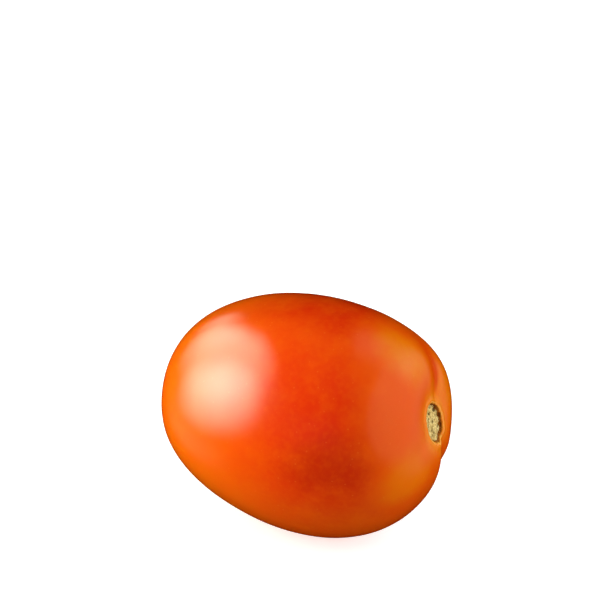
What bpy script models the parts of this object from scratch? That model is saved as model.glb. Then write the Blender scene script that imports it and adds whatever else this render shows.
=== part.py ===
"""A plum tomato lying on its side, stem end raised a little, as picked and without its stalk.

Metres, +Z up. The stem scar faces +X. The fruit rests at the origin, on the small flat spot under its weight.
"""

import math

import bmesh
import bpy
from mathutils import Matrix, Vector

# The body, in the fruit's own frame: +X along its core to the stem end, turns counted from +Y towards +Z.
HALF_LENGTH = 0.0345
GIRTH_RADIUS = 0.0280
BLUNTNESS = 3.3  # 2 rounds the ends like an ellipse, more makes them squarer
TAPER = 0.055  # share by which the stem half is wider than the middle
FULLNESS = 0.070  # share by which the middle is wider than both ends
SAG = Vector((0.0, -0.0001, -0.0011))  # the middle hangs below the core's line
SWAY = Vector((0.0, -0.0036, -0.0011))  # the stem half swings one way, the blossom half the other

# Three seed chambers swell the stem half into soft lobes, with a crease between each two.
LOBE_SHARE = 0.031
LOBE_TURN = math.radians(19.5)
CREASE_TURNS = (math.radians(61), math.radians(197), math.radians(294))
CREASE_DEPTHS = (0.0005, 0.0001, 0.0013)
CREASE_HALF_TURNS = (math.radians(13), math.radians(14), math.radians(12))
CREASE_RADIUS = 0.0120  # each crease is deepest this far from the scar's middle

# The stem end's dimple and the corky scar in it, whose face looks up a little.
DIMPLE_DEPTH = 0.0009
DIMPLE_RADIUS = 0.0075
LEAN = 0.17
LEAN_RADIUS = 0.0100
SCAR_RADIUS = 0.0046
SCAR_OVAL_SHARE = 0.08
SCAR_TURN = math.radians(100)
SCAR_TIP_SHARE = 0.12  # the scar ends in a blunt tip on its lower side
SCAR_TIP_HALF_TURN = math.radians(24)
SCAR_RECESS = 0.0011  # depth of the gutter round the cork
GUTTER_START = 0.78  # share of the scar's radius
CORK_CROWN = 0.0006  # the cork rises this far from the gutter to its middle
LIP_HEIGHT = 0.00018
LIP_WIDTH = 0.13  # share of the scar's radius
BUNDLES = 8  # sap vessels that broke off, a ring of pits and one in the middle
BUNDLE_RING = 0.50  # share of the scar's radius
PIT_DEPTH = 0.00035
PIT_RADIUS = 0.00050

# The blossom end's soft point, with the dry mark of the flower on it.
POINT_HEIGHT = 0.0010
POINT_RADIUS = 0.0065
FLOWER_MARK_RADIUS = 0.0013
FLOWER_MARK_HEIGHT = 0.00030

# How it lies.
STEM_RAISED = math.radians(6.3)
FLAT_SPOT_DEPTH = 0.0004

SEGMENTS = 64
RINGS = 64
END_CROWDING = 0.55  # 0 spaces the rings evenly, towards 1 crowds them at both ends
STEM_CROWDING = 0.20  # crowds them further at the stem end


def bell(distance, width):
    return math.exp(-((distance / width) ** 2))


def smooth_step(value):
    value = min(max(value, 0.0), 1.0)
    return value * value * (3 - 2 * value)


def turn_between(turn, other):
    """The angle from one turn to the other, between minus and plus half a turn."""
    return math.remainder(turn - other, math.tau)


def scar_relief(radius, turn):
    """How far the scar stands out along the core, less than nothing where it is sunk."""
    tip = SCAR_TIP_SHARE * bell(turn_between(turn, SCAR_TURN + math.pi), SCAR_TIP_HALF_TURN)
    edge = SCAR_RADIUS * (1 + SCAR_OVAL_SHARE * math.cos(2 * (turn - SCAR_TURN)) + tip)
    share = radius / edge
    lip = LIP_HEIGHT * bell(share - 1 - LIP_WIDTH, LIP_WIDTH)
    wall = SCAR_RECESS * smooth_step((1 - share) / (1 - GUTTER_START))
    crown = CORK_CROWN * smooth_step(1 - share / GUTTER_START)
    pits = PIT_DEPTH * bell(radius, PIT_RADIUS)
    for index in range(BUNDLES):
        aside = turn_between(turn, index * math.tau / BUNDLES)
        distance = math.hypot(radius - BUNDLE_RING * edge, BUNDLE_RING * edge * aside)
        pits += PIT_DEPTH * bell(distance, PIT_RADIUS)
    return lip - wall + crown - pits


def crease_inset(radius, turn, along):
    """Depth of the creases that run out from the scar between the lobes and end before the girth."""
    reach = (radius / CREASE_RADIUS) ** 2
    fade = reach * math.exp(1 - reach) * smooth_step(2 * along)
    inset = 0.0
    for middle, depth, half_turn in zip(CREASE_TURNS, CREASE_DEPTHS, CREASE_HALF_TURNS):
        inset += depth * fade * bell(turn_between(turn, middle), half_turn)
    return inset


def skin_point(polar, turn):
    """A point of the skin. polar is 0 at the stem scar and half a turn at the blossom end."""
    across = math.sin(polar)
    along = math.copysign(math.sqrt(max(0.0, 1 - across**BLUNTNESS)), math.cos(polar))
    stemward = (1 + along) / 2
    girth = 1 + TAPER * along - FULLNESS * (along**2 - 1 / 3)
    lobes = LOBE_SHARE * stemward * math.cos(3 * (turn - LOBE_TURN))
    radius = GIRTH_RADIUS * across * girth * (1 + lobes)

    outward = Vector((0.0, math.cos(turn), math.sin(turn)))
    point = Vector((HALF_LENGTH * along, 0.0, 0.0)) + outward * radius
    point += (SAG + SWAY * along) * across**2
    if along > 0:
        point.x -= DIMPLE_DEPTH * bell(radius, DIMPLE_RADIUS)
        point.x -= LEAN * radius * math.sin(turn) * bell(radius, LEAN_RADIUS)
        point.x += scar_relief(radius, turn)
        point -= point.normalized() * crease_inset(radius, turn, along)
    else:
        point.x -= POINT_HEIGHT * bell(radius, POINT_RADIUS)
        point.x -= FLOWER_MARK_HEIGHT * bell(radius, FLOWER_MARK_RADIUS)
    return point


def ring_polar(share):
    """Polar angle of the ring at this share of the way from the stem to the blossom end."""
    ends = END_CROWDING * math.sin(math.tau * share) / math.tau
    stem = STEM_CROWDING * share * (1 - share)
    return math.pi * (share - ends - stem)


def make_skin_material():
    material = bpy.data.materials.new("skin")
    material.use_nodes = True
    surface = material.node_tree.nodes["Principled BSDF"]
    surface.inputs["Base Color"].default_value = (0.72, 0.065, 0.006, 1.0)
    surface.inputs["Roughness"].default_value = 0.3
    surface.inputs["Metallic"].default_value = 0.0
    return material


def make_fruit(collection):
    """A globe with its pole at the stem, each vertex moved to its place on the skin."""
    mesh = bpy.data.meshes.new("tomato")
    globe = bmesh.new()
    bmesh.ops.create_uvsphere(globe, u_segments=SEGMENTS, v_segments=RINGS, radius=1.0)
    for vertex in globe.verts:
        share = math.acos(max(-1.0, min(1.0, vertex.co.z))) / math.pi
        turn = math.atan2(vertex.co.y, vertex.co.x)
        vertex.co = skin_point(ring_polar(share), turn)
    bmesh.ops.recalc_face_normals(globe, faces=globe.faces)
    globe.to_mesh(mesh)
    globe.free()
    mesh.shade_smooth()
    mesh.materials.append(make_skin_material())
    fruit = bpy.data.objects.new("tomato", mesh)
    collection.objects.link(fruit)
    return fruit


def lay_down(fruit):
    """Raises the stem end and stands the fruit on the ground, sunk by its flat spot, middle over the origin."""
    fruit.rotation_euler = (0.0, -STEM_RAISED, 0.0)
    turned = Matrix.Rotation(-STEM_RAISED, 3, "Y")
    corners = [turned @ vertex.co for vertex in fruit.data.vertices]
    lowest = Vector(min(corner[axis] for corner in corners) for axis in range(3))
    highest = Vector(max(corner[axis] for corner in corners) for axis in range(3))
    middle = (lowest + highest) / 2
    fruit.location = (-middle.x, -middle.y, -lowest.z - FLAT_SPOT_DEPTH)


def flatten_underside(fruit, helpers):
    """Takes off what reaches below the ground, which leaves the spot that the fruit rests on."""
    bpy.ops.mesh.primitive_cube_add(size=1.0)
    ground = bpy.context.object
    ground.name = "ground_cutter"
    depth = HALF_LENGTH
    ground.dimensions = (4 * HALF_LENGTH, 4 * HALF_LENGTH, depth)
    ground.location = (0.0, 0.0, -depth / 2)
    ground.hide_render = True
    ground.display_type = "WIRE"
    for home in list(ground.users_collection):
        home.objects.unlink(ground)
    helpers.objects.link(ground)
    cut = fruit.modifiers.new("flat_spot", "BOOLEAN")
    cut.operation = "DIFFERENCE"
    cut.object = ground


def main():
    for old in list(bpy.data.objects):
        bpy.data.objects.remove(old, do_unlink=True)
    scene = bpy.context.scene
    parts = bpy.data.collections.new("plum_tomato")
    helpers = bpy.data.collections.new("cutters")
    scene.collection.children.link(parts)
    scene.collection.children.link(helpers)
    fruit = make_fruit(parts)
    lay_down(fruit)
    flatten_underside(fruit, helpers)


main()
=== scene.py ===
"""A ripe plum tomato lying on its side on a pale surface, its stem end a little raised, in soft light."""

import math
import random

import bpy
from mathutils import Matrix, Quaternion, Vector


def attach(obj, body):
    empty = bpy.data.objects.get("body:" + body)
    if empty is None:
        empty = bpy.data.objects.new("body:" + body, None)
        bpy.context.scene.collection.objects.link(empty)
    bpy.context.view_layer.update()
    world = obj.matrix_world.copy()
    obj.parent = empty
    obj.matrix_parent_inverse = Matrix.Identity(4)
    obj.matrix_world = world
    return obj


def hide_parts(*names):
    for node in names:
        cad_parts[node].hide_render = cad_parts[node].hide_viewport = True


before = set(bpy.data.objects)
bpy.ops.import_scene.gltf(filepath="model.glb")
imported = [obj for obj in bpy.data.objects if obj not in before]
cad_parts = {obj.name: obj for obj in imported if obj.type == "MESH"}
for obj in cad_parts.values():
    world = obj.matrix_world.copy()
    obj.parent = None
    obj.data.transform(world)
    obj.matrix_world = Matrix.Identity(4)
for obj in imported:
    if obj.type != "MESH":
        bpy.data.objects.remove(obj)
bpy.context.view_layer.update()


# The skin. A plum tomato is a berry with a thin waxy skin stretched over firm flesh. Three seed chambers
# swell its stem half into soft lobes, with a crease between each two that runs out from the scar. Nothing
# is fixed to it: it grew so.
skin_sizes = {
    "Half Length": 0.0345,
    "Girth Radius": 0.0280,
    "Bluntness": 3.3,
    "Taper": 0.055,
    "Fullness": 0.070,
    "Sag": -0.0011,
    "Sway Sideways": -0.0036,
    "Sway Up": -0.0011,
    "Lobe Share": 0.031,
    "Crease Depth": 0.0010,
    "Crease Radius": 0.0120,
    "Dimple Depth": 0.0009,
    "Dimple Radius": 0.0075,
    "Lean": 0.17,
    "Lean Radius": 0.0100,
    "Stem Raised": math.radians(6.3),
    "Ripple Height": 0.00022,
}
scar_sizes = {
    "Scar Radius": 0.0046,
    "Scar Recess": 0.0011,
    "Gutter Start": 0.78,
    "Lip Height": 0.00020,
    "Lip Width": 0.12,
}
flower_sizes = {"Point Height": 0.0010, "Point Radius": 0.0065}
lobe_turn = math.radians(19.5)
creases = (  # turn and half width in degrees, share of the depth, share of the deeper red and painted shade
    (59.5, 13.0, 0.50, 1.0),
    (197.0, 14.0, 0.12, 0.0),
    (294.0, 12.0, 1.30, 0.5),
)
scar_turn = math.radians(100)  # the scar is longest this way, with its blunt tip at the far side
scar_tip_turn = math.radians(24)
scar_oval, scar_tip = 0.08, 0.12  # shares of the scar's radius
scar_waves, scar_crumble = 0.22, 0.20
end_crowding, stem_crowding = 0.50, 0.30  # how much the mesh's rings crowd at both ends and at the stem
cork_grains = 2600.0  # per metre
colour_patches = (  # turn in degrees, distance from the stem, reach, share, colour
    (90, 0.0195, 0.0105, 0.55, (234, 142, 0)),
    (30, 0.0120, 0.0120, 0.60, (242, 136, 0)),
    (208, 0.0155, 0.0100, 0.35, (234, 142, 0)),
    (325, 0.0200, 0.0100, 0.25, (234, 142, 0)),
    (178, 0.0310, 0.0125, 0.55, (184, 38, 0)),
)
fruit_middle = (0.0000935, 0.0000980, 0.0295450)  # where the middle of its core is when it rests


class Field:
    """A number that varies over a surface. Arithmetic on it adds Math nodes to its node tree."""

    def __init__(self, socket):
        self.socket = socket
        self.tree = socket.id_data

    def __add__(self, other):
        return calculate("ADD", self, other)

    def __sub__(self, other):
        return calculate("SUBTRACT", self, other)

    def __rsub__(self, other):
        return calculate("SUBTRACT", other, self)

    def __mul__(self, other):
        return calculate("MULTIPLY", self, other)

    def __truediv__(self, other):
        return calculate("DIVIDE", self, other)

    def __pow__(self, other):
        return calculate("POWER", self, other)


def calculate(operation, *terms):
    """One Math node, in the tree of whichever term is a field."""
    tree = next(term.tree for term in terms if isinstance(term, Field))
    node = tree.nodes.new("ShaderNodeMath")
    node.operation = operation
    feed(tree, node.inputs, terms)
    return Field(node.outputs[0])


def feed(tree, sockets, values):
    """Links each field to its socket, and sets the socket where the value is a plain one."""
    for socket, value in zip(sockets, values):
        if isinstance(value, Field):
            tree.links.new(value.socket, socket)
        else:
            socket.default_value = value


def bell(distance, width):
    """1 where the distance is 0, falling off to both sides over this width."""
    share = distance / width
    return calculate("EXPONENT", share * share * -1.0)


def step_between(value, start, end):
    """0 up to start and 1 from end on, with a soft passage between them."""
    node = value.tree.nodes.new("ShaderNodeMapRange")
    node.interpolation_type = "SMOOTHSTEP"
    feed(value.tree, node.inputs, (value, start, end))
    return Field(node.outputs["Result"])


def length_of(*sides):
    total = sides[0] * sides[0]
    for side in sides[1:]:
        total = total + side * side
    return calculate("SQRT", total)


def parts_of(vector):
    """The x, y and z fields of a vector field."""
    node = vector.tree.nodes.new("ShaderNodeSeparateXYZ")
    feed(vector.tree, node.inputs, (vector,))
    return [Field(output) for output in node.outputs]


def vector_of(x, y, z):
    tree = next(part.tree for part in (x, y, z) if isinstance(part, Field))
    node = tree.nodes.new("ShaderNodeCombineXYZ")
    feed(tree, node.inputs, (x, y, z))
    return Field(node.outputs[0])


def noise(vector, scale, detail, seed):
    """A noise from 0 to 1. scale is in features per metre, and each seed gives another one."""
    node = vector.tree.nodes.new("ShaderNodeTexNoise")
    node.noise_dimensions = "4D"
    tree = vector.tree
    tree.links.new(vector.socket, node.inputs["Vector"])
    feed(tree, [node.inputs[name] for name in ("W", "Scale", "Detail")], (seed, scale, detail))
    return Field(node.outputs[0])


def shape_tree(name, sizes):
    """A Geometry Nodes tree with these named sizes as its inputs.

    Returns the tree, a field for each size and the mesh that comes in.
    """
    tree = bpy.data.node_groups.new(name, "GeometryNodeTree")
    tree.is_modifier = True
    tree.interface.new_socket("Geometry", in_out="OUTPUT", socket_type="NodeSocketGeometry")
    tree.interface.new_socket("Geometry", in_out="INPUT", socket_type="NodeSocketGeometry")
    for label in sizes:
        tree.interface.new_socket(label, in_out="INPUT", socket_type="NodeSocketFloat")
    inputs = tree.nodes.new("NodeGroupInput")
    return tree, {label: Field(inputs.outputs[label]) for label in sizes}, inputs.outputs["Geometry"]


def geometry_step(tree, kind, geometry, values=None, **settings):
    """Adds a geometry node after this geometry. values maps an input's name to its value."""
    node = tree.nodes.new(kind)
    for key, value in settings.items():
        setattr(node, key, value)
    tree.links.new(geometry, node.inputs[0])
    for label, value in (values or {}).items():
        feed(tree, [node.inputs[label]], [value])
    return node.outputs[0]


def keep_attribute(tree, geometry, name, value, kind="FLOAT"):
    values = {"Name": name, "Value": value}
    return geometry_step(tree, "GeometryNodeStoreNamedAttribute", geometry, values, data_type=kind)


def grow(name, tree, geometry, sizes, material, start=None):
    """Closes the tree, runs it with these sizes and keeps the plain mesh that comes out."""
    geometry = geometry_step(tree, "GeometryNodeRealizeInstances", geometry)
    geometry = geometry_step(tree, "GeometryNodeSetShadeSmooth", geometry)
    geometry = geometry_step(tree, "GeometryNodeSetMaterial", geometry, {"Material": material})
    tree.links.new(geometry, tree.nodes.new("NodeGroupOutput").inputs[0])
    piece = bpy.data.objects.new(name, start or bpy.data.meshes.new(name))
    bpy.context.scene.collection.objects.link(piece)
    modifier = piece.modifiers.new("shape", "NODES")
    modifier.node_group = tree
    for item in tree.interface.items_tree:
        if item.in_out == "INPUT" and item.name in sizes:
            modifier[item.identifier] = sizes[item.name]
    graph = bpy.context.evaluated_depsgraph_get()
    grown = piece.evaluated_get(graph)
    mesh = bpy.data.meshes.new_from_object(grown, preserve_all_data_layers=True, depsgraph=graph)
    piece.modifiers.remove(modifier)
    piece.data = mesh
    return piece


def globe(tree, segments, rings):
    """A unit globe in the tree, with the angle from its top and the turn round it as fields."""
    sphere = tree.nodes.new("GeometryNodeMeshUVSphere")
    feed(tree, sphere.inputs, (segments, rings, 1.0))
    x, y, z = parts_of(Field(tree.nodes.new("GeometryNodeInputPosition").outputs[0]))
    polar = calculate("ARCCOSINE", calculate("MAXIMUM", calculate("MINIMUM", z, 1.0), -1.0))
    return sphere.outputs["Mesh"], polar, calculate("ARCTAN2", y, x)


def fruit_form(size, polar, turn):
    """The point of the fruit at this angle from the stem and turn round its core.

    Returns its x, y and z, its distance from the core, its share of the half length, and how much of a
    crease's deeper red and painted shade it gets.
    """
    across = calculate("MAXIMUM", calculate("SINE", polar), 0.0)
    bulk = calculate("SQRT", calculate("MAXIMUM", 1.0 - across ** size["Bluntness"], 0.0))
    along = bulk * calculate("SIGN", calculate("COSINE", polar))
    girth = size["Taper"] * along + 1.0 - size["Fullness"] * (along * along - 1 / 3)
    lobes = size["Lobe Share"] * (along + 1.0) * 0.5 * calculate("COSINE", (turn - lobe_turn) * 3.0)
    radius = size["Girth Radius"] * across * girth * (lobes + 1.0)
    x = size["Half Length"] * along
    y = radius * calculate("COSINE", turn) + size["Sway Sideways"] * along * across * across
    z = radius * calculate("SINE", turn) + (size["Sag"] + size["Sway Up"] * along) * across * across

    stem_end = calculate("GREATER_THAN", along, 0.0)
    lean = size["Lean"] * radius * calculate("SINE", turn) * bell(radius, size["Lean Radius"])
    x = x - stem_end * (size["Dimple Depth"] * bell(radius, size["Dimple Radius"]) + lean)

    reach = (radius / size["Crease Radius"]) ** 2.0
    fade = reach * calculate("EXPONENT", 1.0 - reach) * step_between(along, 0.0, 0.5)
    depth, groove = 0.0, 0.0
    for crease_turn, half_turn, share, tone in creases:
        aside = calculate("WRAP", turn - math.radians(crease_turn), math.pi, -math.pi)
        fold = bell(aside, math.radians(half_turn))
        depth = fold * share + depth
        groove = fold ** 3.0 * tone + groove
    pull = 1.0 - depth * fade * size["Crease Depth"] / length_of(x, y, z)
    return x * pull, y * pull, z * pull, radius, along, groove * fade


def scar_edge(size, turn):
    """How far the scar's uneven edge is from its middle."""
    oval = calculate("COSINE", (turn - scar_turn) * 2.0) * scar_oval
    tip = bell(calculate("WRAP", turn - scar_turn, math.tau, 0.0) - math.pi, scar_tip_turn) * scar_tip
    ring = vector_of(calculate("COSINE", turn), calculate("SINE", turn), 0.0)
    waves = (noise(ring, 1.1, 1.0, 12.0) - 0.5) * scar_waves
    crumble = (noise(ring, 6.0, 3.0, 13.0) - 0.5) * scar_crumble
    return size["Scar Radius"] * (oval + tip + (waves + crumble) + 1.0)


def lay_down(tree, geometry, size):
    """Turns the stem end up and moves the fruit to where it rests."""
    node = tree.nodes.new("GeometryNodeTransform")
    tree.links.new(geometry, node.inputs["Geometry"])
    feed(tree, [node.inputs["Rotation"]], [vector_of(0.0, size["Stem Raised"] * -1.0, 0.0)])
    node.inputs["Translation"].default_value = fruit_middle
    return node.outputs[0]


def new_material(name):
    material = bpy.data.materials.new(name)
    material.use_nodes = True
    return material, material.node_tree, material.node_tree.nodes["Principled BSDF"]


def attribute(tree, name, output="Fac"):
    node = tree.nodes.new("ShaderNodeAttribute")
    node.attribute_name = name
    return Field(node.outputs[output])


def object_place(tree):
    return Field(tree.nodes.new("ShaderNodeTexCoord").outputs["Object"])


def mix(share, first, second):
    """A colour between two, the second where share is 1."""
    tree = share.tree
    node = tree.nodes.new("ShaderNodeMix")
    node.data_type = "RGBA"
    sockets = [socket for socket in node.inputs if socket.type == "RGBA"]
    tree.links.new(share.socket, node.inputs["Factor"])
    feed(tree, sockets, (first, second))
    return Field([socket for socket in node.outputs if socket.type == "RGBA"][0])


def bump(tree, height, distance):
    node = tree.nodes.new("ShaderNodeBump")
    node.inputs["Distance"].default_value = distance
    tree.links.new(height.socket, node.inputs["Height"])
    return node.outputs["Normal"]


def paint(red, green, blue):
    """A colour as a screen shows it, 0 to 255, made linear."""
    shares = [level / 255 for level in (red, green, blue)]
    return tuple(s / 12.92 if s <= 0.04045 else ((s + 0.055) / 1.055) ** 2.4 for s in shares) + (1.0,)


cork_inputs = {"Place": "Vector", "Pale": "Color", "Dark": "Color", "Grains per Metre": "Float"}


def dry_cork_group():
    """The look of dried cork, for the scar, its crumbs, its gutter and the flower's mark."""
    group = bpy.data.node_groups.new("dry_cork", "ShaderNodeTree")
    for label, kind in cork_inputs.items():
        group.interface.new_socket(label, in_out="INPUT", socket_type="NodeSocket" + kind)
    for label, kind in (("Color", "Color"), ("Height", "Float")):
        group.interface.new_socket(label, in_out="OUTPUT", socket_type="NodeSocket" + kind)
    given = group.nodes.new("NodeGroupInput").outputs
    place, pale, dark, scale = (Field(given[label]) for label in cork_inputs)
    patches = step_between(noise(place, scale * 0.4, 3.0, 1.0), 0.38, 0.64)
    cells = group.nodes.new("ShaderNodeTexVoronoi")
    feed(group, [cells.inputs["Vector"], cells.inputs["Scale"]], (place, scale))
    grain = Field(cells.outputs["Distance"])
    worn = step_between(grain, 0.25, 0.75) * 0.55
    share = calculate("MINIMUM", patches * 0.7 + worn, 1.0)
    given_out = group.nodes.new("NodeGroupOutput").inputs
    height = 1.0 - grain + patches * -0.5
    feed(group, [given_out["Color"], given_out["Height"]], (mix(share, pale, dark), height))
    return group


dry_cork = dry_cork_group()


def cork_look(tree, pale, dark, grains):
    """Places the cork group in a material and gives its colour and height."""
    node = tree.nodes.new("ShaderNodeGroup")
    node.node_tree = dry_cork
    feed(tree, [node.inputs[label] for label in cork_inputs], (object_place(tree), pale, dark, grains))
    return Field(node.outputs["Color"]), Field(node.outputs["Height"])


def ripe_skin_material():
    """Waxy red skin with orange and yellow shoulders and a pale lip round the scar, painted shade on its
    top, and creases of a deeper red that is partly painted shade.
    """
    material, tree, surface = new_material("ripe_skin")
    place = object_place(tree)
    x, y, z = parts_of(attribute(tree, "core", "Vector"))
    radius = length_of(y, z)
    cosine, sine = y / radius, z / radius
    scar = attribute(tree, "scar")
    groove = attribute(tree, "groove")
    from_stem = length_of(x - skin_sizes["Half Length"], y, z)
    from_flower = length_of(x + skin_sizes["Half Length"], y, z)

    def facing(degrees):
        """1 on the line along the fruit at this turn, and less to both sides."""
        return cosine * math.cos(math.radians(degrees)) + sine * math.sin(math.radians(degrees))

    red = paint(226, 68, 0)
    deep_red = paint(214, 42, 0)
    orange = paint(236, 96, 0)
    brownish = paint(224, 84, 4)
    blossom_orange = paint(241, 114, 4)
    crease_red_and_shade = paint(206, 64, 0)
    stem_orange = paint(238, 118, 8)
    speck_orange = paint(244, 140, 60)
    halo_yellow = paint(246, 150, 24)
    lip_yellow = paint(250, 188, 72)
    gutter_brown = paint(176, 104, 28)
    gutter_shade = paint(96, 44, 0)
    clouds = noise(place, 38.0, 2.0, 3.0)
    flecks = noise(place, 110.0, 4.0, 9.0)
    girth = step_between(from_stem, 0.020, 0.027) * step_between(from_flower, 0.037, 0.060)
    ripest = step_between(facing(170) + (clouds - 0.5) * 0.8, 0.45, 0.95) * girth
    # Painted shade: the top, away from the stem, is darkened towards the deeper red.
    top = step_between(facing(84) + (clouds - 0.5) * 0.3, 0.84, 1.0) * step_between(from_stem, 0.026, 0.036)
    colour = mix(calculate("MAXIMUM", ripest * 0.9, top), red, deep_red)
    colour = mix(step_between(facing(262) + (clouds - 0.5) * 0.9, 0.1, 0.9) * 0.7, colour, brownish)
    colour = mix(step_between(flecks, 0.42, 0.78) * 0.42, colour, orange)
    end = step_between(from_flower, 0.053, 0.018) * (1.0 - step_between(from_flower, 0.024, 0.006) * 0.80)
    colour = mix(end * (clouds * 0.3 + 0.7), colour, blossom_orange)

    shoulder = step_between(from_stem + (clouds - 0.5) * 0.008 - facing(75) * 0.006, 0.0285, 0.018)
    colour = mix(shoulder * 0.62, colour, orange)
    for patch_turn, distance, reach, share, tone in colour_patches:
        aside = calculate("ARCCOSINE", facing(patch_turn) * 0.999) * from_stem
        gap = length_of(aside, from_stem - distance) + (flecks - 0.5) * 0.010
        colour = mix(step_between(gap, reach, reach * 0.2) * share, colour, paint(*tone))
    # The creases get a deeper red that is partly the skin's own colour and partly painted shade.
    in_crease = step_between(groove + (flecks - 0.5) * 0.12, 0.0, 0.80)
    colour = mix(in_crease * 0.95, colour, crease_red_and_shade)
    colour = mix(step_between(from_stem, 0.011, 0.005) * 0.7, colour, stem_orange)

    grains = noise(place, 800.0, 3.0, 8.0)
    colour = mix(step_between(grains, 0.35, 0.75) * 0.16, colour, orange)
    cells = tree.nodes.new("ShaderNodeTexVoronoi")
    tree.links.new(place.socket, cells.inputs["Vector"])
    cells.inputs["Scale"].default_value = 720.0
    cell_tone = parts_of(Field(cells.outputs["Color"]))[0]
    specks = step_between(Field(cells.outputs["Distance"]), 0.20, 0.08) * step_between(cell_tone, 0.4, 0.9)
    colour = mix(specks * 0.16, colour, speck_orange)

    halo = step_between(scar + (grains - 0.5) * 0.5, 1.75, 0.95)
    colour = mix(halo * 0.55, colour, halo_yellow)
    lip = bell(scar - 1.02, 0.06) * step_between(grains, 0.36, 0.60)
    colour = mix(lip * 0.65, colour, lip_yellow)
    cork, grain = cork_look(tree, gutter_brown, gutter_shade, cork_grains)
    colour = mix(step_between(scar, 1.00, 0.92), colour, cork)
    tree.links.new(colour.socket, surface.inputs["Base Color"])

    waxy = noise(place, 260.0, 3.0, 2.0) * 0.05 + 0.12
    rough = waxy + step_between(scar, 1.12, 0.95) * 0.5
    in_gutter = step_between(scar, 1.05, 0.95)
    dull = calculate("MAXIMUM", step_between(groove, 0.0, 0.7), in_gutter)
    shine = 0.5 - dull * 0.45
    tree.links.new(shine.socket, surface.inputs["Specular IOR Level"])
    tree.links.new(rough.socket, surface.inputs["Roughness"])
    peel = noise(place, 1500.0, 2.0, 4.0) * 0.10 + noise(place, 420.0, 2.0, 6.0) * 0.4
    relief = peel + in_gutter * grain * 6.0
    tree.links.new(bump(tree, relief, 0.00002), surface.inputs["Normal"])
    surface.inputs["IOR"].default_value = 1.50
    surface.inputs["Subsurface Weight"].default_value = 0.30
    surface.inputs["Subsurface Radius"].default_value = (1.0, 0.22, 0.08)
    surface.inputs["Subsurface Scale"].default_value = 0.0030
    surface.inputs["Coat Weight"].default_value = 0.10
    surface.inputs["Coat Roughness"].default_value = 0.12
    return material


def make_skin():
    """The fruit's whole outside, with the scar's sunken ring and the flat spot that it rests on."""
    sizes = {**skin_sizes, **scar_sizes, **flower_sizes}
    tree, size, _ = shape_tree("tomato_skin", sizes)
    mesh, polar, turn = globe(tree, 256, 220)
    share = polar / math.pi
    crowding = calculate("SINE", share * math.tau) * (end_crowding / math.tau)
    crowding = crowding + share * (1.0 - share) * stem_crowding
    polar = (share - crowding) * math.pi
    x, y, z, radius, along, groove = fruit_form(size, polar, turn)

    scar = radius / scar_edge(size, turn)
    stem_end = calculate("GREATER_THAN", along, 0.0)
    far_off = 20.0
    scar = scar * stem_end + (1.0 - stem_end) * far_off
    lip = size["Lip Height"] * bell(scar - size["Lip Width"] - 1.0, size["Lip Width"])
    wall = size["Scar Recess"] * step_between(scar, 1.0, size["Gutter Start"])
    point = size["Point Height"] * bell(radius, size["Point Radius"]) * (1.0 - stem_end)

    across, up = radius * calculate("COSINE", turn), radius * calculate("SINE", turn)
    core = vector_of(size["Half Length"] * along, across, up)
    ripple = (noise(core, 85.0, 1.0, 7.0) - 0.5) * size["Ripple Height"] * step_between(scar, 1.2, 3.0)
    push = ripple / length_of(x, y, z) + 1.0
    place = vector_of(x * push + lip - wall - point, y * push, z * push)

    mesh = keep_attribute(tree, mesh, "core", core, "FLOAT_VECTOR")
    mesh = keep_attribute(tree, mesh, "scar", calculate("MINIMUM", scar, 8.0))
    mesh = keep_attribute(tree, mesh, "groove", groove)
    mesh = geometry_step(tree, "GeometryNodeSetPosition", mesh, {"Position": place})
    mesh = lay_down(tree, mesh, size)
    x, y, z = parts_of(Field(tree.nodes.new("GeometryNodeInputPosition").outputs[0]))
    rested = vector_of(x, y, calculate("MAXIMUM", z, 0.0))
    mesh = geometry_step(tree, "GeometryNodeSetPosition", mesh, {"Position": rested})
    return grow("skin", tree, mesh, sizes, ripe_skin_material())


skin = make_skin()
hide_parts("tomato")
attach(skin, "root")


# The stem scar. Where the stalk snapped off, a plug of pale cork has dried in a sunken ring of brown skin.
# The sap vessels that tore leave a ring of dark pits and one in the middle. It is part of the fruit and
# can't come off.
plug_sizes = {
    "Plug Fit": 0.93,
    "Plug Crown": 0.0009,
    "Plug Thickness": 0.0006,
    "Pit Depth": 0.00042,
    "Cork Unevenness": 0.00055,
}
pit_count = 13
middle_pit_width = 0.00050
pit_widths = (0.00028, 0.00060)
pit_rings = (0.0021, 0.0037)  # how far from the scar's middle the other pits are
plug_lift = 0.0001  # how far its rim stands above the ring's floor
smallest_crumb = (0.00006, 0.00005, 0.00004)
largest_crumb = (0.00019, 0.00015, 0.00010)
any_way_round = (6.28, 6.28, 6.28)  # radians


def scar_cork_material():
    material, tree, surface = new_material("scar_cork")
    pit = attribute(tree, "pit")
    share = attribute(tree, "share")
    pale_cork = paint(255, 234, 158)
    shaded_cork = paint(214, 178, 98)
    stain_brown = paint(128, 102, 30)
    pit_brown = paint(92, 68, 8)
    rim_brown = paint(140, 84, 22)
    colour, grain = cork_look(tree, pale_cork, shaded_cork, cork_grains)
    fibres = noise(object_place(tree), 2400.0, 4.0, 3.0)
    stains = step_between(noise(object_place(tree), 1100.0, 3.0, 5.0), 0.50, 0.62)
    colour = mix(stains * 0.62, colour, stain_brown)
    colour = mix(step_between(pit + (fibres - 0.5) * 0.7, 0.30, 0.75) * 0.92, colour, pit_brown)
    colour = mix(step_between(share + (fibres - 0.5) * 0.3, 0.86, 1.02) * 0.8, colour, rim_brown)
    tree.links.new(colour.socket, surface.inputs["Base Color"])
    tree.links.new(bump(tree, grain, 0.00018), surface.inputs["Normal"])
    surface.inputs["Roughness"].default_value = 0.85
    surface.inputs["IOR"].default_value = 1.35
    return material


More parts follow.
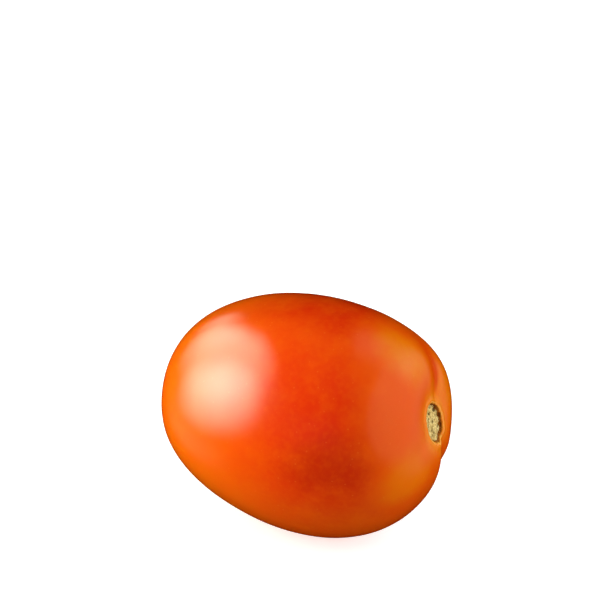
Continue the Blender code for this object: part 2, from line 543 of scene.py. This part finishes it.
def closed_round(tree, segments, rings):
    """A globe to flatten. Its upper half becomes the round's face and the lower half its hidden underside.

    Returns the mesh, and as fields 1 on the face, the share of the way to the rim, the turn and the rise of
    a dome over it.
    """
    mesh, angle, turn = globe(tree, segments, rings)
    face = calculate("LESS_THAN", angle, math.pi / 2 + 0.001)
    share = calculate("MINIMUM", angle, math.pi - angle) / (math.pi / 2)
    dome = calculate("SQRT", calculate("MAXIMUM", 1.0 - share * share, 0.0))
    return mesh, face, share, turn, dome


def make_scar():
    """The plug of cork, set into the sunken ring."""
    sizes = {**skin_sizes, **scar_sizes, **plug_sizes}
    tree, size, _ = shape_tree("stem_scar", sizes)
    mesh, face, share, turn, dome = closed_round(tree, 128, 96)
    reach = share * scar_edge(size, turn) * size["Plug Fit"]
    x, y, z, *_ = fruit_form(size, calculate("ARCSINE", reach / size["Girth Radius"]), turn)

    across, up = reach * calculate("COSINE", turn), reach * calculate("SINE", turn)
    dice = random.Random(5)
    pit = bell(length_of(across, up), middle_pit_width)
    for index in range(pit_count):
        at = (index + dice.uniform(-0.3, 0.3)) * math.tau / pit_count
        ring = dice.uniform(*pit_rings)
        width = dice.uniform(*pit_widths)
        pit = pit + bell(length_of(across - ring * math.cos(at), up - ring * math.sin(at)), width)
    lumps = noise(vector_of(across, up, 0.0), 900.0, 3.0, 2.0) - 0.5
    relief = size["Plug Crown"] * dome + size["Cork Unevenness"] * lumps * dome - size["Pit Depth"] * pit
    under = size["Plug Thickness"] * dome * -1.0
    height = face * relief + (1.0 - face) * under - size["Scar Recess"] + plug_lift

    mesh = keep_attribute(tree, mesh, "share", share)
    mesh = keep_attribute(tree, mesh, "pit", pit)
    mesh = keep_attribute(tree, mesh, "outside", face)
    mesh = geometry_step(tree, "GeometryNodeSetPosition", mesh, {"Position": vector_of(x + height, y, z)})
    return grow("stem_scar", tree, lay_down(tree, mesh, size), sizes, scar_cork_material())


def named(tree, name):
    """An attribute of the mesh that a Geometry Nodes tree works on."""
    node = tree.nodes.new("GeometryNodeInputNamedAttribute")
    feed(tree, [node.inputs["Name"]], [name])
    return Field(node.outputs["Attribute"])


def chance(tree, low, high, seed):
    """A random vector for each crumb, the same one every time."""
    node = tree.nodes.new("FunctionNodeRandomValue")
    node.data_type = "FLOAT_VECTOR"
    sockets = [socket for socket in node.inputs if socket.enabled]
    feed(tree, sockets[:2], (low, high))
    node.inputs["Seed"].default_value = seed
    return Field(next(socket for socket in node.outputs if socket.enabled))


def crumb_material():
    material, tree, surface = new_material("cork_crumb")
    crumb_pale = paint(246, 222, 146)
    crumb_shade = paint(170, 130, 56)
    colour, grain = cork_look(tree, crumb_pale, crumb_shade, cork_grains * 2)
    tree.links.new(colour.socket, surface.inputs["Base Color"])
    tree.links.new(bump(tree, grain, 0.00005), surface.inputs["Normal"])
    surface.inputs["Roughness"].default_value = 0.9
    return material


def make_crumbs(cork):
    """Loose-looking crumbs of torn cork, each sunk halfway into the plug."""
    sizes = {"Crumbs per Square Metre": 3.4e6}
    tree, size, plug = shape_tree("cork_crumbs", sizes)
    outside = named(tree, "outside") * step_between(named(tree, "share"), 0.97, 0.90)
    torn = calculate("GREATER_THAN", outside * step_between(named(tree, "pit"), 0.7, 0.3), 0.5)
    points = tree.nodes.new("GeometryNodeDistributePointsOnFaces")
    tree.links.new(plug, points.inputs["Mesh"])
    tree.links.new(torn.socket, points.inputs["Selection"])
    tree.links.new(size["Crumbs per Square Metre"].socket, points.inputs["Density"])
    points.inputs["Seed"].default_value = 3

    crumb = tree.nodes.new("GeometryNodeMeshIcoSphere")
    feed(tree, crumb.inputs, (1.0, 2))
    scatter = tree.nodes.new("GeometryNodeInstanceOnPoints")
    tree.links.new(points.outputs["Points"], scatter.inputs["Points"])
    tree.links.new(crumb.outputs["Mesh"], scatter.inputs["Instance"])
    turned = chance(tree, (0.0, 0.0, 0.0), any_way_round, seed=1)
    sized = chance(tree, smallest_crumb, largest_crumb, seed=2)
    feed(tree, [scatter.inputs["Rotation"], scatter.inputs["Scale"]], (turned, sized))
    torn_plug = cork.data.copy()
    return grow("cork_crumbs", tree, scatter.outputs["Instances"], sizes, crumb_material(), torn_plug)


stem_scar = make_scar()
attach(stem_scar, "root")
crumbs = make_crumbs(stem_scar)
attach(crumbs, "root")


# The flower's mark. At the other end a small dry scab is left where the flower fell off, brown and split
# like a star, grown fast to the soft point of the skin.
mark_sizes = {
    "Mark Radius": 0.0014,
    "Mark Rise": 0.00034,
    "Mark Thickness": 0.0005,
    "Style Rise": 0.0005,
}
mark_sink = 0.00006  # how far the mark's rim is sunk into the skin
mark_grains = 4200.0


def flower_mark_material():
    material, tree, surface = new_material("dry_flower")
    scab_brown = paint(196, 134, 66)
    scab_shade = paint(112, 64, 26)
    edge_tan = paint(186, 128, 62)
    colour, grain = cork_look(tree, scab_brown, scab_shade, mark_grains)
    colour = mix(step_between(attribute(tree, "share"), 0.7, 1.0) * 0.6, colour, edge_tan)
    tree.links.new(colour.socket, surface.inputs["Base Color"])
    tree.links.new(bump(tree, grain, 0.00010), surface.inputs["Normal"])
    surface.inputs["Roughness"].default_value = 0.85
    return material


def make_flower_mark():
    """A closed scab with a notched edge, a split face and the stub of the flower's style in its middle."""
    sizes = {**skin_sizes, **flower_sizes, **mark_sizes}
    tree, size, _ = shape_tree("flower_mark", sizes)
    mesh, face, share, turn, dome = closed_round(tree, 96, 48)
    points = calculate("COSINE", turn * 5.0 + 0.6) * 0.08 + calculate("COSINE", turn * 8.0) * 0.05
    reach = share * size["Mark Radius"] * (points * share + 1.0)
    x, y, z, *_ = fruit_form(size, math.pi - calculate("ARCSINE", reach / size["Girth Radius"]), turn)

    splits = calculate("ABSOLUTE", calculate("COSINE", turn * 2.5 + 0.3))
    rise = size["Mark Rise"] * dome * (step_between(splits, 0.0, 0.5) * share * 0.35 + 0.65)
    rise = rise + size["Style Rise"] * bell(share, 0.20)
    height = face * rise - (1.0 - face) * dome * size["Mark Thickness"] - mark_sink
    x = x - size["Point Height"] * bell(reach, size["Point Radius"]) - height
    mesh = keep_attribute(tree, mesh, "share", share)
    mesh = geometry_step(tree, "GeometryNodeSetPosition", mesh, {"Position": vector_of(x, y, z)})
    mesh = geometry_step(tree, "GeometryNodeFlipFaces", mesh)
    return grow("flower_mark", tree, lay_down(tree, mesh, size), sizes, flower_mark_material())


flower_mark = make_flower_mark()
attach(flower_mark, "root")


# The floor. A plain pale sheet under the fruit, much wider than the view, that glows a little so that it is
# as white as the picture.
floor_reach = 2.0
floor_drop = 0.00005  # how far it lies below the fruit's flat spot
floor_colour = (0.86, 0.88, 0.88, 1.0)
floor_glow = 0.62


def make_floor():
    mesh = bpy.data.meshes.new("floor")
    sides = ((-1, -1), (1, -1), (1, 1), (-1, 1))
    corners = [(x * floor_reach, y * floor_reach, -floor_drop) for x, y in sides]
    mesh.from_pydata(corners, [], [(0, 1, 2, 3)])
    floor = bpy.data.objects.new("floor", mesh)
    bpy.context.scene.collection.objects.link(floor)
    material, _, surface = new_material("pale_floor")
    surface.inputs["Base Color"].default_value = floor_colour
    surface.inputs["Roughness"].default_value = 0.7
    surface.inputs["Emission Color"].default_value = (1.0, 1.0, 1.0, 1.0)
    surface.inputs["Emission Strength"].default_value = floor_glow
    mesh.materials.append(material)
    floor.visible_glossy = False
    floor.visible_diffuse = False
    return floor


make_floor()


# The light. Four warm soft boxes close on the left make the broad highlight, and three pale ones and a wall
# on the right the fainter one beside the scar. The boxes are only mirrored. The wall on the right, four
# fills and the white walls all round light the fruit.
wall_glow = 0.55
camera_turn = math.radians(24.8)
camera_rise = math.radians(28.0)
right = Vector((math.cos(camera_turn), math.sin(camera_turn), 0.0))
front = Vector((math.sin(camera_turn), -math.cos(camera_turn), 0.0))
centre = Vector(fruit_middle)


def soft_box(name, place, facing, width, tall, watts, fade=0.0, roll=0.0, tint=(1.0, 1.0, 1.0)):
    """A lamp behind cloth. place is how far right, in front of and above the fruit's middle it stands.

    The camera's right is meant, and facing is told the same way. fade is the share of the way in from an
    oval cloth's edge over which it dims.
    """
    lamp = bpy.data.lights.new(name, "AREA")
    lamp.shape = "RECTANGLE"
    lamp.size, lamp.size_y, lamp.energy, lamp.color = width, tall, watts, tint
    if fade:
        lamp.use_nodes = True
        tree = lamp.node_tree
        across, along, _ = parts_of(Field(tree.nodes.new("ShaderNodeNewGeometry").outputs["Parametric"]))
        glow = step_between(length_of(across * 2.0 - 1.0, along * 2.0 - 1.0), 1.0, 1.0 - fade)
        tree.links.new(glow.socket, tree.nodes["Emission"].inputs["Strength"])
    box = bpy.data.objects.new(name, lamp)
    box.location = centre + right * place[0] + front * place[1] + Vector((0.0, 0.0, place[2]))
    ahead = right * facing[0] + front * facing[1] + Vector((0.0, 0.0, facing[2]))
    box.rotation_euler = (ahead.to_track_quat("-Z", "Y") @ Quaternion((0.0, 0.0, 1.0), roll)).to_euler()
    box.visible_camera = False
    bpy.context.scene.collection.objects.link(box)
    return box


rightward = (1.0, 0.0, 0.0)
leftward = (-1.0, 0.0, 0.0)
warm = (1.0, 0.90, 0.74)
for mirrored_box in (
    soft_box("left_box", (-0.105, -0.043, 0.092), rightward, 0.242, 0.181, 0.84, 0.83, -0.29, warm),
    soft_box("left_core", (-0.102, 0.016, 0.034), rightward, 0.124, 0.146, 0.58, 0.99, 0.10, warm),
    soft_box("left_back", (-0.108, -0.160, 0.081), rightward, 0.287, 0.118, 0.215, 0.99, -0.05, warm),
    soft_box("left_low", (-0.111, -0.014, -0.050), rightward, 0.110, 0.120, 0.015, 0.99, 0.0, warm),
    soft_box("right_back", (0.37, -0.330, 0.620), leftward, 0.90, 0.90, 0.75, 0.9),
    soft_box("right_high", (0.41, -0.700, 1.250), leftward, 1.50, 1.70, 2.30, 0.9),
    soft_box("right_core", (0.34, -0.140, 0.190), leftward, 0.36, 0.36, 0.16, 0.99),
):
    mirrored_box.visible_diffuse = False
soft_box("right_wall", (0.35, 0.125, 0.150), leftward, 1.25, 0.84, 0.86, 0.35)
for fill in (
    soft_box("left_fill", (-0.28, 0.05, 0.09), (0.28, -0.05, -0.08), 0.24, 0.24, 0.95, 0.0, 0.0, warm),
    soft_box("low_fill", (-0.32, 0.58, 0.07), (0.32, -0.58, -0.05), 0.60, 0.36, 0.60),
    soft_box("right_fill", (0.55, 0.10, 0.28), (-0.9, -0.1, -0.4), 0.70, 0.60, 1.9),
    soft_box("top_box", (0.0, 0.0, 1.2), (0.0, 0.0, -1.0), 1.6, 1.6, 1.5),
):
    fill.visible_glossy = False

walls = bpy.data.worlds.new("white_walls")
walls.use_nodes = True
walls.node_tree.nodes["Background"].inputs["Color"].default_value = (1.0, 1.0, 1.0, 1.0)
walls.node_tree.nodes["Background"].inputs["Strength"].default_value = wall_glow
walls.cycles_visibility.glossy = False
bpy.context.scene.world = walls
bpy.context.scene.view_settings.view_transform = "Standard"


# The camera, well back from the fruit on a long lens. It looks above the fruit's middle, so that the fruit
# sits low in the picture.
camera_distance = 0.6
look_above, look_left = 0.02585, 0.00113
eye = centre + (front * math.cos(camera_rise) + Vector((0.0, 0.0, math.sin(camera_rise)))) * camera_distance
up = (eye - centre).normalized().cross(right)
target = centre + up * look_above - right * look_left
lens = bpy.data.cameras.new("camera")
lens.lens = 149.7  # millimetres
lens.sensor_width = 36.0
lens.clip_start = 0.01
camera = bpy.data.objects.new("camera", lens)
camera.location = eye
camera.rotation_euler = (target - eye).to_track_quat("-Z", "Y").to_euler()
bpy.context.scene.collection.objects.link(camera)
bpy.context.scene.camera = camera
